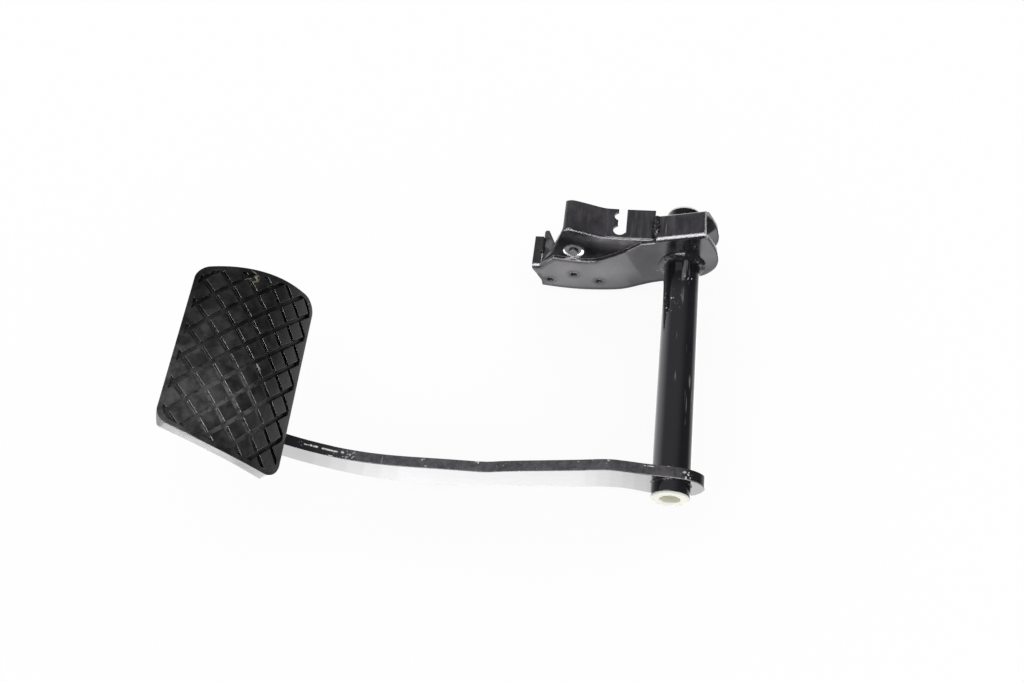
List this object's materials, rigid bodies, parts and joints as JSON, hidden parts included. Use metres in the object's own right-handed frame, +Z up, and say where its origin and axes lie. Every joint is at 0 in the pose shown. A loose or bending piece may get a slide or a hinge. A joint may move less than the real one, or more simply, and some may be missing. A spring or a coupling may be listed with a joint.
{
  "type": "brake pedal",
  "caption": "Hanging brake pedal: ribbed rubber pad on a curved flat arm, welded to a long pivot tube with a stamped lever bracket at its far end.",
  "frame": {"origin": "middle of the pivot bore, halfway between the ends of the cross tube", "axes": "+X towards the driver, +Y along the pivot bore from the bracket to the pedal arm, +Z up as fitted"},
  "size_m": [0.1359, 0.238, 0.334],
  "materials": {
    "black_paint": "gloss black paint, worn",
    "rubber": "matte, dusty",
    "nylon": "natural nylon",
    "pin_steel": "dull steel"
  },
  "bodies": {
    "root": {"pivot_tube": "black_paint", "pedal_arm": "black_paint", "pad_plate": "black_paint", "lever_channel": "black_paint", "lever_web": "black_paint", "weld_arm_outer": "black_paint", "weld_arm_inner": "black_paint", "weld_cheek_near": "black_paint", "weld_cheek_far": "black_paint", "weld_web_seam": "black_paint", "weld_end_tab": "black_paint", "weld_pad_left": "black_paint", "weld_pad_right": "black_paint", "rubber_pad": "rubber", "arm_end_bush": "nylon", "bracket_end_bush": "nylon", "pin_bush": "nylon", "pushrod_pin": "pin_steel"}
  },
  "joints": []
}
